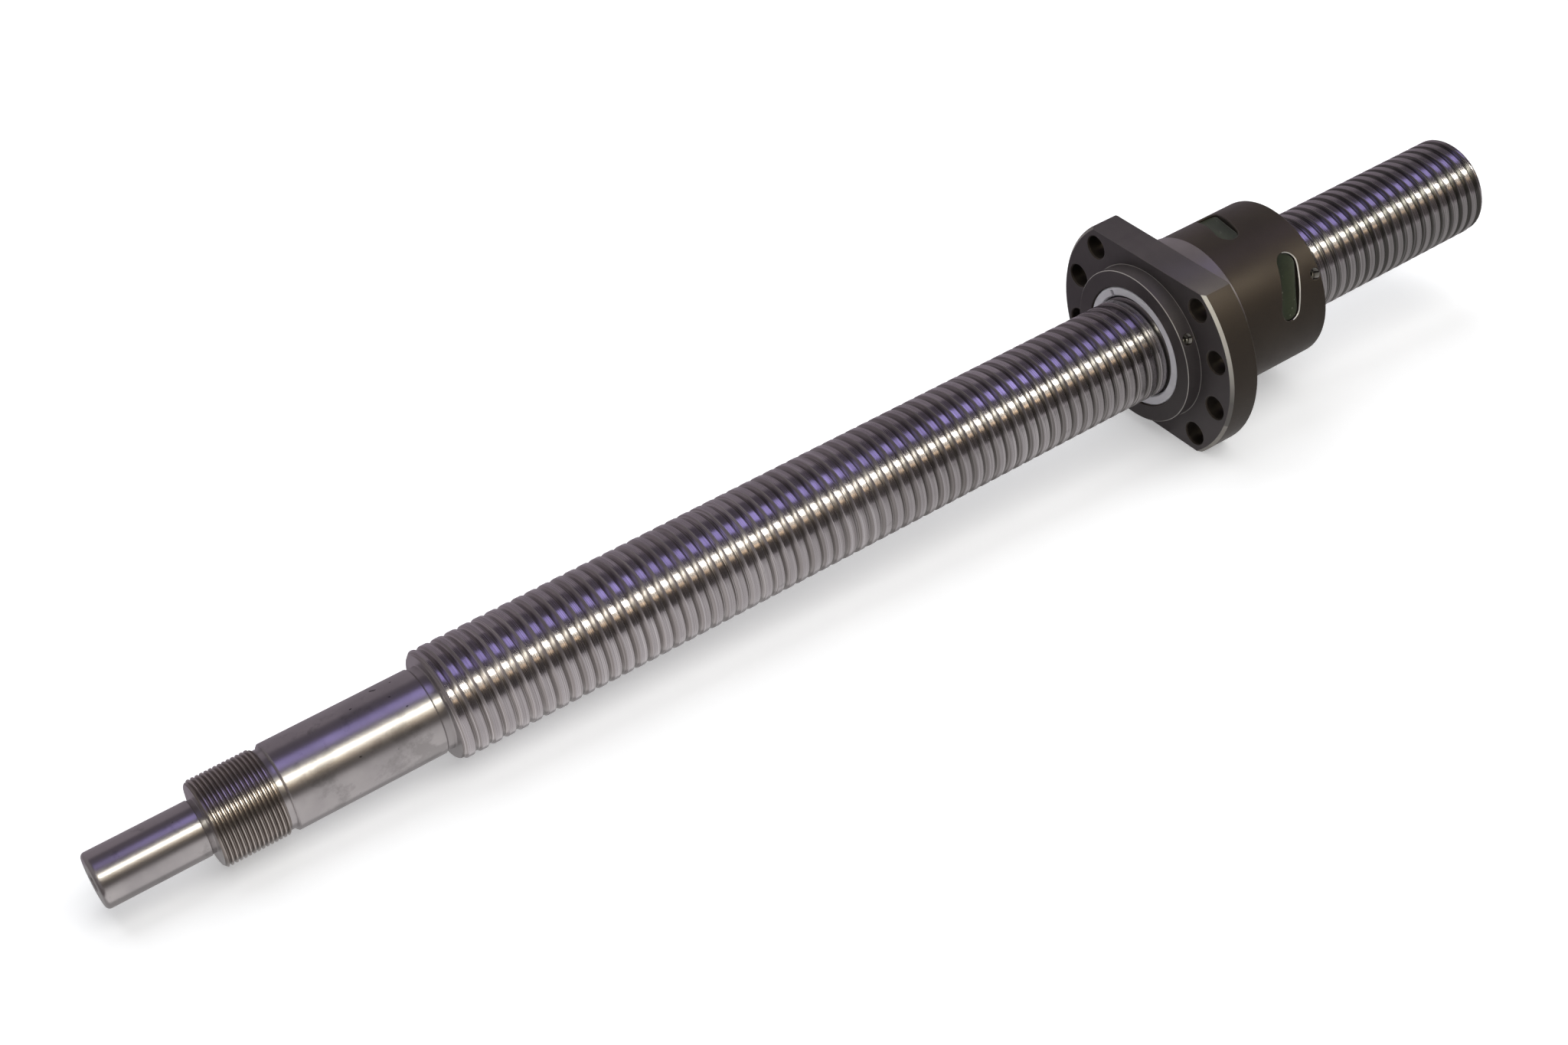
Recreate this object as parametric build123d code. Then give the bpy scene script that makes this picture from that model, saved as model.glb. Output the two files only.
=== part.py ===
from build123d import *
import os
from math import ceil, cos, floor, pi, radians, sin, sqrt, tan

# Right-hand ball screw with a flanged single nut, in millimetres.
# +X runs along the screw axis, from the driven end to the free end.
# +Z points up, square to the two flats of the flange.
# The origin lies on the axis, at the shoulder where the raceway starts.
# Angles about the axis start at +Y and grow towards +Z.

# Raceway and balls
lead = 5.0
ball_diameter = 3.175
ball_circle = 40.6
ball_clearance = 0.15
ball_spacing = 0.08
path_step = 0.5
groove_offset = 2.54
flats_per_turn = 12
spare_turns = 2

# Screw shaft
raceway_diameter = 39.0
raceway_length = 457.5
raceway_start_chamfer = 1.2
raceway_end_chamfer = 1.0
bearing_diameter = 30.0
bearing_length = 55.7
bearing_chamfer = 0.6
relief_diameter = 29.3
relief_width = 3.3
undercut_diameter = 27.6
undercut_width = 2.0
thread_diameter = 29.8
thread_length = 22.8
thread_chamfer = 1.0
drive_diameter = 19.0
drive_length = 36.5
drive_chamfer = 1.3
drive_relief_diameter = 18.4
drive_relief_width = 1.7
drive_centre_mouth = 6.6
free_centre_mouth = 10.6
centre_hole_floor = 2.0
centre_hole_half_angle = 30.0

# Nut
nut_rest = 294.3
nut_bore = 41.0
collar_diameter = 60.5
collar_length = 6.0
collar_chamfer = 0.7
flange_diameter = 93.0
flange_thickness = 12.5
flange_width = 70.0
flange_chamfer = 1.2
pilot_diameter = 63.0
pilot_length = 11.0
body_diameter = 62.3
body_length = 38.2
bolt_hole = 9.0
bolt_angles = (15.0, 45.0)

# Ball deflectors, one for each closed circuit of balls
circuits = 5
rear_deflector_angle = 149.0
rear_deflector_inset = 14.89
crossing_half_angle = 22.0
slot_length = 25.0
slot_width = 8.0
slot_slant = 18.0
slot_end_flats = 4
nose_length = 19.0
nose_width = 6.6
nose_shaft_gap = 1.25
head_depth = 6.65
insert_recess = 1.0
channel_clearance = 0.25
channel_half_angle = 33.0
channel_steps = 8
seat_clearance = 0.06

# Wipers, felt rings and set screws
wiper_diameter = 47.2
wiper_bore = 40.0
wiper_thickness = 5.8
wiper_recess = 0.3
wiper_clearance = 0.1
wiper_notch_angle = 57.0
wiper_notch_width = 1.6
wiper_notch_depth = 1.2
wiper_notch_rim = 1.0
felt_thickness = 2.0
felt_clearance = 0.2
felt_shaft_gap = 0.2
set_screw_diameter = 4.2
set_screw_length = 4.5
set_screw_angle = 149.0
set_screw_front_inset = 3.2
set_screw_rear_inset = 2.7
set_screw_socket = 2.0
set_screw_socket_depth = 2.0

# Places along the axis
undercut_start = -bearing_length - undercut_width
thread_start = undercut_start - thread_length
drive_start = thread_start - drive_length
nut_length = collar_length + flange_thickness + pilot_length + body_length
rest_turns = (nut_rest + nut_length - rear_deflector_inset - lead / 2 - groove_offset) / lead
rear_turn = round(rest_turns - rear_deflector_angle / 360)
rear_deflector = groove_offset + lead * (rear_turn + rear_deflector_angle / 360) + lead / 2
nut_end = rear_deflector + rear_deflector_inset
nut_front = nut_end - nut_length
flange_front = nut_front + collar_length
flange_back = flange_front + flange_thickness
pilot_end = flange_back + pilot_length
bolt_circle = (pilot_diameter + flange_diameter) / 2
ledge_height = body_diameter / 2 - head_depth
felt_place = wiper_recess + wiper_thickness + felt_clearance
seat_depth = felt_place + felt_thickness + felt_clearance

# Ball and groove sizes: both raceways are vee grooves, as wide at the land as the ball is there.
ball_radius = ball_diameter / 2
ball_path = ball_circle / 2
groove_reach = ball_radius + ball_clearance * sqrt(2)
land_drop = ball_path - raceway_diameter / 2
groove_half_width = sqrt(ball_radius**2 - land_drop**2)
flank_slope = (groove_reach - land_drop) / groove_half_width
ball_lift = ball_radius + ball_clearance - land_drop


def triangle(*corners):
    return Face(Wire.make_polygon(corners, close=True))


def around(x, radius, angle):
    """The point at a distance from the axis, at an angle in degrees."""
    return Vector(x, radius * cos(radians(angle)), radius * sin(radians(angle)))


def turned(outline):
    """A solid of revolution about the screw axis, from points of station and radius."""
    return revolve(make_face(Polyline(*outline, outline[0])), Axis.X, 360)


def tube(start, end, outer, inner):
    return turned([(start, inner), (start, outer), (end, outer), (end, inner)])


def raceway_bar(land, flat_scale, start, end):
    """A bar with a helical vee raceway, built strip by strip out of flat faces.

    A land radius under the ball path gives the shaft's groove, and one over it gives
    the space inside the nut. The bar runs past both ends, to be cut off there.
    """
    outwards = 1 if land > ball_path else -1
    half_width = sqrt(ball_radius**2 - (land - ball_path) ** 2)
    root = (ball_path + outwards * groove_reach) * flat_scale
    land = land * flat_scale
    step = 360 / flats_per_turn
    first = floor(((start - groove_offset) / lead - spare_turns) * flats_per_turn)
    last = ceil(((end - groove_offset) / lead + spare_turns) * flats_per_turn)

    def strip_points(radius, side):
        return [
            around(groove_offset + lead * i / flats_per_turn + side, radius, step * i)
            for i in range(first, last + flats_per_turn + 1)
        ]

    near = strip_points(land, -half_width)
    deep = strip_points(root, 0)
    far = strip_points(land, half_width)
    faces = []
    count = last - first
    for i in range(count):
        turn_on = i + flats_per_turn
        faces.append(triangle(near[i], near[i + 1], deep[i]))
        faces.append(triangle(near[i + 1], deep[i + 1], deep[i]))
        faces.append(triangle(deep[i], deep[i + 1], far[i]))
        faces.append(triangle(deep[i + 1], far[i + 1], far[i]))
        faces.append(triangle(far[i], far[i + 1], near[turn_on + 1], near[turn_on]))
    for i in (0, count):
        rim = near[i : i + flats_per_turn + 1] + [far[i], deep[i]]
        hub = Vector(sum(point.X for point in rim) / len(rim), 0, 0)
        for point, following in zip(rim, rim[1:] + rim[:1]):
            faces.append(triangle(point, following, hub))
    return Solid(Shell(faces))


def centre_hole(face, inwards, mouth_diameter):
    """The cone of a centre hole in an end of the shaft."""
    mouth = mouth_diameter / 2
    bottom = centre_hole_floor / 2
    depth = (mouth - bottom) / tan(radians(centre_hole_half_angle))
    return turned(
        [
            (face, 0),
            (face, mouth),
            (face + inwards * depth, bottom),
            (face + inwards * depth, 0),
        ]
    )


def make_shaft():
    outer = raceway_diameter / 2
    past = outer + lead
    blank = turned(
        [
            (0, 0),
            (0, outer - raceway_start_chamfer),
            (raceway_start_chamfer + lead, past),
            (raceway_length - raceway_end_chamfer - lead, past),
            (raceway_length, outer - raceway_end_chamfer),
            (raceway_length, 0),
        ]
    )
    raceway = raceway_bar(outer, 1, 0, raceway_length) & blank
    bearing = bearing_diameter / 2
    relief = relief_diameter / 2
    undercut = undercut_diameter / 2
    thread = thread_diameter / 2
    drive = drive_diameter / 2
    drive_relief = drive_relief_diameter / 2
    journals = turned(
        [
            (drive_start, 0),
            (drive_start, drive - drive_chamfer),
            (drive_start + drive_chamfer, drive),
            (thread_start - drive_relief_width, drive),
            (thread_start - drive_relief_width, drive_relief),
            (thread_start, drive_relief),
            (thread_start, thread - thread_chamfer),
            (thread_start + thread_chamfer, thread),
            (undercut_start, thread),
            (undercut_start, undercut),
            (-bearing_length, undercut),
            (-bearing_length, bearing - bearing_chamfer),
            (bearing_chamfer - bearing_length, bearing),
            (-relief_width, bearing),
            (bearing - relief - relief_width, relief),
            (0, relief),
            (0, 0),
        ]
    )
    shaft = raceway + journals
    shaft -= centre_hole(drive_start, 1, drive_centre_mouth)
    shaft -= centre_hole(raceway_length, -1, free_centre_mouth)
    return shaft


def placed_circuits():
    """Where each circuit sits: a fifth of a turn on, and as far back along the helix."""
    step = 360 / circuits
    for i in range(circuits):
        back = lead * (1 + 1 / circuits) * i
        yield Pos(X=rear_deflector - back) * Rot(X=rear_deflector_angle - step * i)


def ball_centre(angle):
    """Station and radius of the ball path, at an angle from the middle of a deflector."""
    helix = lead * angle / 360
    side = -1 if angle > 0 else 1
    groove = side * lead / 2 + helix
    if abs(angle) >= crossing_half_angle:
        return groove, ball_path
    edge = lead / 2 - lead * crossing_half_angle / 360
    station = -edge * sin(pi / 2 * angle / crossing_half_angle)
    return station, ball_path + min(ball_lift, flank_slope * abs(station - groove))


def make_ball():
    """A ball as eight flat faces, with its six corners on the real ball's surface."""
    corners = [Vector(*point) * ball_radius for point in ((1, 0, 0), (0, 1, 0), (-1, 0, 0), (0, -1, 0))]
    faces = []
    for corner, following in zip(corners, corners[1:] + corners[:1]):
        for pole in (Vector(0, 0, ball_radius), Vector(0, 0, -ball_radius)):
            faces.append(triangle(corner, following, pole))
    return Solid(Shell(faces))


def make_circuit():
    """One closed loop of balls, evenly spaced along its path."""
    steps = round(360 / path_step)
    angles = [path_step * (i - steps / 2) for i in range(steps + 1)]
    points = [around(*ball_centre(angle), angle) for angle in angles]
    travelled = [0]
    for point, following in zip(points, points[1:]):
        travelled.append(travelled[-1] + (following - point).length)
    count = floor(travelled[-1] / (ball_diameter + ball_spacing))
    ball = make_ball()
    balls = []
    for i in range(count):
        wanted = travelled[-1] * i / count
        nearest = min(range(len(points)), key=lambda k: abs(travelled[k] - wanted))
        part = (wanted - travelled[nearest]) / (travelled[-1] / len(points))
        angle = angles[nearest] + part * path_step
        station, radius = ball_centre(angle)
        balls.append(Pos(X=station) * Rot(X=angle) * Pos(Y=radius) * ball)
    return balls


def slot_prism(length, width, low, high):
    """A slanted slot shape standing on the axis, between two heights along +Y.

    Its rounded ends are a few flats each.
    """
    plane = Plane(origin=(0, low, 0), x_dir=(1, 0, 0), z_dir=(0, 1, 0))
    radius = width / 2
    outline = []
    for end in (0, 180):
        middle = Vector((length - width) / 2, 0).rotate(Axis.Z, end)
        for i in range(slot_end_flats + 1):
            angle = end + 180 * i / slot_end_flats - 90
            outline.append(middle + Vector(radius, 0).rotate(Axis.Z, angle))
    face = make_face(Polyline(*outline, close=True)).rotate(Axis.Z, 90 - slot_slant)
    return extrude(plane * face, high - low)


def make_channel():
    """The return channel for the balls, as a run of flat-sided sections."""
    half_width = ball_radius + channel_clearance
    floor_radius = raceway_diameter / 2
    sections = []
    for i in range(channel_steps + 1):
        angle = channel_half_angle * (2 * i / channel_steps - 1)
        station, radius = ball_centre(angle)
        roof = radius + ball_radius + ball_clearance
        left = station - half_width
        right = station + half_width
        corners = ((left, floor_radius), (right, floor_radius), (right, roof), (left, roof))
        sections.append([around(x, r, angle) for x, r in corners])
    faces = [triangle(*sections[0]), triangle(*sections[-1])]
    for section, following in zip(sections, sections[1:]):
        for i in range(4):
            j = (i + 1) % 4
            faces.append(triangle(section[i], section[j], following[i]))
            faces.append(triangle(section[j], following[j], following[i]))
    return Solid(Shell(faces))


def make_deflector():
    """The insert: a head in the slot, and a nose with the return channel in the bore."""
    head = slot_prism(
        slot_length - 2 * seat_clearance,
        slot_width - 2 * seat_clearance,
        ledge_height + seat_clearance,
        body_diameter / 2,
    )
    nose = slot_prism(
        nose_length - 2 * seat_clearance,
        nose_width - 2 * seat_clearance,
        raceway_diameter / 2,
        ledge_height + seat_clearance,
    )
    shell = tube(
        -slot_length,
        slot_length,
        body_diameter / 2 - insert_recess,
        raceway_diameter / 2 + nose_shaft_gap,
    )
    return ((head + nose) & shell) - make_channel()


def make_pocket():
    """What is cut from the nut for one insert."""
    head = slot_prism(slot_length, slot_width, ledge_height, body_diameter)
    nose = slot_prism(nose_length, nose_width, 0, ledge_height)
    return head + nose


def radial_cylinder(x, angle, diameter, low, high):
    """A round bar square to the axis, between two distances from it."""
    bar = Cylinder(diameter / 2, high - low, align=(Align.CENTER, Align.CENTER, Align.MIN))
    return Pos(X=x) * Rot(X=angle) * Pos(Y=low) * Rot(X=-90) * bar


def nut_blank():
    """The turned nut without its raceway, with a seat for the wiper and felt at each end."""
    collar = collar_diameter / 2
    flange = flange_diameter / 2
    pilot = pilot_diameter / 2
    body = body_diameter / 2
    wiper_seat = wiper_diameter / 2 + wiper_clearance
    outside = turned(
        [
            (nut_front, 0),
            (nut_front, collar - collar_chamfer),
            (nut_front + collar_chamfer, collar),
            (flange_front, collar),
            (flange_front, flange - flange_chamfer),
            (flange_front + flange_chamfer, flange),
            (flange_back, flange),
            (flange_back, pilot),
            (pilot_end, pilot),
            (pilot_end, body),
            (nut_end, body),
            (nut_end, 0),
        ]
    )
    trim = Pos(X=(nut_front + nut_end) / 2) * Box(nut_length, flange_diameter, flange_width)
    seats = [
        tube(nut_front, nut_front + seat_depth, wiper_seat, 0),
        tube(nut_end - seat_depth, nut_end, wiper_seat, 0),
    ]
    return (outside & trim) - seats


def bolt_holes():
    """The screw holes in the flange, as many beside one flat as beside the other."""
    shape = tube(flange_front, flange_back, bolt_hole / 2, 0)
    for side in (0, 180):
        for angle in bolt_angles:
            for turn in (side - angle, side + angle):
                yield Rot(X=turn) * Pos(Y=bolt_circle / 2) * shape


def make_nut():
    bore_start = nut_front + seat_depth
    bore_end = nut_end - seat_depth
    flat_scale = 1 / cos(pi / flats_per_turn)
    bore = raceway_bar(nut_bore / 2, flat_scale, bore_start, bore_end)
    bore &= tube(bore_start, bore_end, body_diameter / 2, 0)
    pocket = make_pocket()
    pockets = [place * pocket for place in placed_circuits()]
    screw_holes = [
        radial_cylinder(x, set_screw_angle, set_screw_diameter, wiper_bore / 2, body_diameter)
        for x in (nut_front + set_screw_front_inset, nut_end - set_screw_rear_inset)
    ]
    return nut_blank() - bore - pockets - screw_holes - list(bolt_holes())


def make_wiper(face, inwards):
    """A wiper ring in an end of the nut, with a small notch in its outer face."""
    outer = wiper_diameter / 2
    bore = wiper_bore / 2
    start = face + inwards * wiper_recess
    end = start + inwards * wiper_thickness
    ring = turned(
        [
            (start, bore),
            (start, outer),
            (end, outer),
            (end, bore),
        ]
    )
    notch = Box(
        2 * wiper_notch_depth,
        outer - wiper_notch_rim,
        wiper_notch_width,
        align=(Align.CENTER, Align.MIN, Align.CENTER),
    )
    return ring - Pos(X=start) * Rot(X=wiper_notch_angle) * notch


def make_felt(face, inwards):
    """A felt ring, loose in its recess behind a wiper."""
    start = face + inwards * felt_place
    outer = wiper_diameter / 2 + wiper_clearance - felt_clearance
    bore = raceway_diameter / 2 + felt_shaft_gap
    return tube(start, start + inwards * felt_thickness, outer, bore)


def make_set_screw(x):
    """The screw that locks a wiper, with a hexagon socket in its outer end."""
    tip = wiper_diameter / 2 + seat_clearance
    top = tip + set_screw_length
    screw = radial_cylinder(x, set_screw_angle, set_screw_diameter - 2 * seat_clearance, tip, top)
    hexagon = extrude(RegularPolygon(set_screw_socket / 2, 6, major_radius=False), set_screw_socket_depth)
    socket = Pos(X=x) * Rot(X=set_screw_angle) * Pos(Y=top - set_screw_socket_depth) * Rot(X=-90) * hexagon
    return screw - socket


def save(name, *solids):
    shape = solids[0] if len(solids) == 1 else Compound(children=list(solids))
    export_step(shape, f"parts/{name}.step")


os.makedirs("parts", exist_ok=True)
save("screw_shaft", make_shaft())
save("nut_body", make_nut())
deflector = make_deflector()
circuit = make_circuit()
for number, place in enumerate(placed_circuits(), start=1):
    save(f"deflector_{number}", place * deflector)
    save(f"ball_circuit_{number}", *[place * ball for ball in circuit])
save("wiper_front", make_wiper(nut_front, 1))
save("wiper_rear", make_wiper(nut_end, -1))
save("felt_ring_front", make_felt(nut_front, 1))
save("felt_ring_rear", make_felt(nut_end, -1))
save("set_screw_front", make_set_screw(nut_front + set_screw_front_inset))
save("set_screw_rear", make_set_screw(nut_end - set_screw_rear_inset))
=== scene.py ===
import math

import bmesh
import bpy
from mathutils import Matrix, Vector


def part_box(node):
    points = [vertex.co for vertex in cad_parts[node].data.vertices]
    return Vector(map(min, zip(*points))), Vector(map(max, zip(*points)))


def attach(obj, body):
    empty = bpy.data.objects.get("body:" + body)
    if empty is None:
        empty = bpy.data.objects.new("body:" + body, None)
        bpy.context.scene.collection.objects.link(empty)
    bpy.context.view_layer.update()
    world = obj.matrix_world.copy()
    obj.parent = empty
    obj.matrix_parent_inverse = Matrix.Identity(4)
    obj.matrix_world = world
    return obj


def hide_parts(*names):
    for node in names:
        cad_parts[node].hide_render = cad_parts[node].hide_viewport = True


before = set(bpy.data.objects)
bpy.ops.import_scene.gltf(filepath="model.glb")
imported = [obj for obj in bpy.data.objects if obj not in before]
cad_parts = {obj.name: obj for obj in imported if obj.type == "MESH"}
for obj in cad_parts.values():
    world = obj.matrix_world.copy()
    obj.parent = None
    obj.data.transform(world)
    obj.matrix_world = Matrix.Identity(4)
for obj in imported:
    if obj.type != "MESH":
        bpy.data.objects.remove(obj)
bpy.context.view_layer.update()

MM = 0.001

# Main sizes in millimetres
LEAD = 5.0
BALL = 3.175
BALL_PATH = 20.3
BALL_GAP = 0.08
CLEARANCE = 0.15
GROOVE_OFFSET = 2.54
RACEWAY_R = 19.5
RACEWAY_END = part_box("screw_shaft")[1].x / MM
DRIVE_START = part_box("screw_shaft")[0].x / MM
DRIVE_R = 9.5
THREAD_START = -80.5
THREAD_END = -57.7
THREAD_PITCH = 1.5
THREAD_OFFSET = 0.4
THREAD_CREST = 14.9
THREAD_ROOT = 13.98
JOURNAL_START = -55.7
JOURNAL_R = 15.0
NUT_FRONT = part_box("nut_body")[0].x / MM
NUT_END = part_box("nut_body")[1].x / MM
NUT_LENGTH = 67.7
COLLAR_LENGTH = 6.0
FLANGE_BACK = 18.5
PILOT_BACK = 29.5
BODY_R = 31.15
PILOT_R = 31.5
COLLAR_R = 30.25
FLANGE_R = 46.5
FLANGE_FLAT = 35.0
BORE_R = 20.5
SEAT_R = 23.7
SEAT_DEPTH = 8.5
HOLE_R = 4.5
HOLE_CIRCLE_R = 39.0
HOLE_ANGLES = (15.0, -15.0, 45.0, -45.0)
REAR_SLOT = NUT_END - 14.89
REAR_SLOT_ANGLE = 149.0
SLOT_SLANT = 18.0
SLOT_LENGTH = 25.0
SLOT_WIDTH = 8.0
SLOT_FLOOR = 24.5
CIRCUITS = 5
CIRCUIT_STEP = 1.2 * LEAD
CIRCUIT_TURN = 72
SET_SCREWS = (NUT_FRONT + 3.2, NUT_END - 2.7)
SET_SCREW_R = 2.1

# Steps round the screw axis
ROUND_STEPS = 160
SHELL_STEPS = 256
GROOVE_STEPS = 72
THREAD_STEPS = 96


# Mesh helpers

def link(name, points, faces):
    """A new mesh piece from points in millimetres."""
    mesh = bpy.data.meshes.new(name)
    mesh.from_pydata([(x * MM, y * MM, z * MM) for x, y, z in points], [], faces)
    mesh.update()
    piece = bpy.data.objects.new(name, mesh)
    bpy.context.scene.collection.objects.link(piece)
    return piece


def smooth(piece, angle=30):
    piece.data.shade_smooth()
    piece.data.set_sharp_from_angle(angle=math.radians(angle))


def around(x, radius, angle):
    return (x, radius * math.cos(angle), radius * math.sin(angle))


def turned(x, height, tangent, angle):
    """A point at a height over the screw axis and a step square to it, at an angle about the axis."""
    c, s = math.cos(angle), math.sin(angle)
    return (x, height * c - tangent * s, height * s + tangent * c)


def lathe(outline, count, closed=False):
    """Points and faces of a turned shape about the screw axis."""
    points, rings, faces = [], [], []
    for x, radius in outline:
        first = len(points)
        if radius == 0:
            rings.append([first] * count)
            points.append((x, 0, 0))
        else:
            rings.append([first + k for k in range(count)])
            points += [around(x, radius, 2 * math.pi * k / count) for k in range(count)]
    pairs = list(zip(rings, rings[1:]))
    if closed:
        pairs.append((rings[-1], rings[0]))
    for low, high in pairs:
        for k in range(count):
            n = (k + 1) % count
            corners = [low[k], low[n], high[n], high[k]]
            face = [c for i, c in enumerate(corners) if c != corners[i - 1]]
            if len(face) > 2:
                faces.append(face)
    return points, faces


def helix_sheet(pitch, offset, profile, start, end, count, limit):
    """A threaded surface whose profile is a list of side steps and radii over one pitch.

    limit(x, r) gives the radius after the end chamfers. Points past an end are held at that end.
    """
    per = len(profile)
    first = math.floor((start - offset) / pitch - 1.5) * count
    last = math.ceil((end - offset) / pitch + 1.5) * count
    points = []
    inside = []
    for i in range(first, last + count + 1):
        angle = 2 * math.pi * i / count
        for side, radius in profile:
            x = offset + pitch * i / count + side
            inside.append(start < x < end)
            held = min(max(x, start), end)
            points.append(around(held, limit(held, radius), angle))
    faces = []
    for i in range(last - first):
        for j in range(per):
            a = i * per + j
            d = a + per
            b = a + 1 if j < per - 1 else (i + count) * per
            c = b + per
            corners = (a, d, c, b)
            if any(inside[k] for k in corners):
                faces.append(corners)
    used = sorted({k for face in faces for k in face})
    place = {k: n for n, k in enumerate(used)}
    return [points[k] for k in used], [tuple(place[k] for k in face) for face in faces]


def soft_min(a, b, k):
    """The smaller of two values, with a round change between them."""
    h = max(k - abs(a - b), 0) / k
    return min(a, b) - h * h * k / 4


def ringed(rings):
    """A closed shape through rings of the same number of points, with flat ends."""
    count = len(rings[0])
    points = [p for ring in rings for p in ring]
    faces = [list(range(count))[::-1], [count * (len(rings) - 1) + k for k in range(count)]]
    for i in range(len(rings) - 1):
        for k in range(count):
            n = (k + 1) % count
            faces.append([i * count + k, i * count + n, (i + 1) * count + n, (i + 1) * count + k])
    return points, faces


def radial_ringed(x, angle, steps, count=40):
    """A round shape square to the screw axis, from steps of height and radius."""
    rings = []
    for height, radius in steps:
        turns = [2 * math.pi * k / count for k in range(count)]
        flat = [(x + radius * math.cos(t), -radius * math.sin(t)) for t in turns]
        rings.append([turned(station, height, tangent, angle) for station, tangent in flat])
    return ringed(rings)


def axial_ringed(y, z, steps, count=48):
    """A round shape along the screw axis, from steps of place and radius."""
    rings = []
    for x, radius in steps:
        turns = [2 * math.pi * k / count for k in range(count)]
        rings.append([(x, y + radius * math.cos(t), z + radius * math.sin(t)) for t in turns])
    return ringed(rings)


def add(shape, more):
    """Adds the points and faces of one shape to another."""
    base = len(shape[0])
    shape[0].extend(more[0])
    shape[1].extend([base + k for k in face] for face in more[1])


def outward(piece):
    """Turns every face of a closed piece outwards."""
    work = bmesh.new()
    work.from_mesh(piece.data)
    bmesh.ops.recalc_face_normals(work, faces=work.faces)
    work.to_mesh(piece.data)
    work.free()


def carve(piece, tool):
    """Cuts the tool's shape out of the piece, for good."""
    cut = piece.modifiers.new("cut", "BOOLEAN")
    cut.operation = "DIFFERENCE"
    cut.solver = "EXACT"
    cut.object = tool
    view = bpy.context.evaluated_depsgraph_get()
    result = bpy.data.meshes.new_from_object(piece.evaluated_get(view))
    piece.modifiers.clear()
    piece.data = result
    bpy.data.objects.remove(tool)


def turned_normals(piece, angle=30):
    """Exact normals on the turned faces, smooth ones by angle on the rest."""
    smooth(piece, angle)
    mesh = piece.data
    normals = [Vector(c.vector) for c in mesh.corner_normals]
    for face in mesh.polygons:
        out = Vector((0, face.center.y, face.center.z))
        if out.length < 1e-6:
            continue
        out.normalize()
        lift = face.normal.dot(out)
        if abs(face.normal.x) < 0.999 and abs(face.normal.x**2 + lift**2 - 1) > 0.0006:
            continue
        for k in face.loop_indices:
            place = mesh.vertices[mesh.loops[k].vertex_index].co
            radial = Vector((0, place.y, place.z)).normalized()
            normals[k] = (Vector((face.normal.x, 0, 0)) + radial * lift).normalized()
    mesh.normals_split_custom_set(normals)


# Slots of the ball deflectors

def slot_centres():
    """Station and angle of each slot, from the rear one on."""
    for i in range(CIRCUITS):
        yield REAR_SLOT - CIRCUIT_STEP * i, math.radians(REAR_SLOT_ANGLE - CIRCUIT_TURN * i)


def slot_outline(length, width, count=14, parts=1):
    """Side and along steps of a round-ended slot, in order round it, its sides in parts."""
    radius = width / 2
    reach = (length - width) / 2
    outline = []
    for end in (1, -1):
        for k in range(count + 1):
            angle = math.pi * k / count - math.pi / 2
            outline.append((end * (reach + radius * math.cos(angle)), end * radius * math.sin(angle)))
        for k in range(1, parts):
            outline.append((end * reach * (1 - 2 * k / parts), end * radius))
    return outline


def slot_place(x, angle, along, across, height=None, radius=None):
    """A point of a slanted slot at a height, or on a cylinder about the screw axis."""
    slant = math.radians(SLOT_SLANT)
    side = across * math.cos(slant) - along * math.sin(slant)
    tangent = across * math.sin(slant) + along * math.cos(slant)
    up = height if radius is None else math.sqrt(radius * radius - tangent * tangent)
    return turned(x + side, up, tangent, angle)


# Shader helpers

class Nodes:
    """Short calls to add and join shader nodes."""

    def __init__(self, tree):
        self.tree = tree

    def add(self, kind, **values):
        node = self.tree.nodes.new(kind)
        for key, value in values.items():
            if hasattr(node, key):
                setattr(node, key, value)
            else:
                node.inputs[key.replace("_", " ")].default_value = value
        return node

    def join(self, out, into):
        self.tree.links.new(out, into)

    def math(self, operation, a, b=None):
        node = self.add("ShaderNodeMath", operation=operation)
        for value, socket in ((a, node.inputs[0]), (b, node.inputs[1])):
            if value is None:
                continue
            if isinstance(value, (int, float)):
                socket.default_value = value
            else:
                self.join(value, socket)
        return node.outputs[0]

    def stretch(self, value, low, high, to_low=0.0, to_high=1.0):
        node = self.add("ShaderNodeMapRange")
        self.join(value, node.inputs["Value"])
        limits = {"From Min": low, "From Max": high, "To Min": to_low, "To Max": to_high}
        for key, number in limits.items():
            node.inputs[key].default_value = number
        return node.outputs[0]

    def mix(self, factor, a, b):
        node = self.add("ShaderNodeMix", data_type="RGBA")
        for value, socket in ((factor, node.inputs[0]), (a, node.inputs[6]), (b, node.inputs[7])):
            if isinstance(value, (int, float)):
                socket.default_value = value
            elif isinstance(value, tuple):
                socket.default_value = (*value, 1)
            else:
                self.join(value, socket)
        return node.outputs[2]

    def noise(self, scale, shape=(1, 1, 1), detail=2.0, rough=0.5, seed=0.0):
        place = self.add("ShaderNodeTexCoord")
        mapping = self.add("ShaderNodeMapping", Scale=shape, Location=(seed, seed * 0.7, seed * 0.3))
        self.join(place.outputs["Object"], mapping.inputs["Vector"])
        node = self.add("ShaderNodeTexNoise", Scale=scale, Detail=detail, Roughness=rough)
        self.join(mapping.outputs["Vector"], node.inputs["Vector"])
        return node.outputs["Fac"]


def material(name):
    """A new material with its node helper and its shader."""
    new = bpy.data.materials.new(name)
    new.use_nodes = True
    tree = new.node_tree
    shader = next(n for n in tree.nodes if n.type == "BSDF_PRINCIPLED")
    return new, Nodes(tree), shader


def shade(colour, factor):
    return tuple(c * factor for c in colour)


def spot_parts(n):
    """The X, Y and Z of a spot on the piece, in metres."""
    place = n.add("ShaderNodeTexCoord")
    parts = n.add("ShaderNodeSeparateXYZ")
    n.join(place.outputs["Object"], parts.inputs[0])
    return parts.outputs["X"], parts.outputs["Y"], parts.outputs["Z"]


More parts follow.
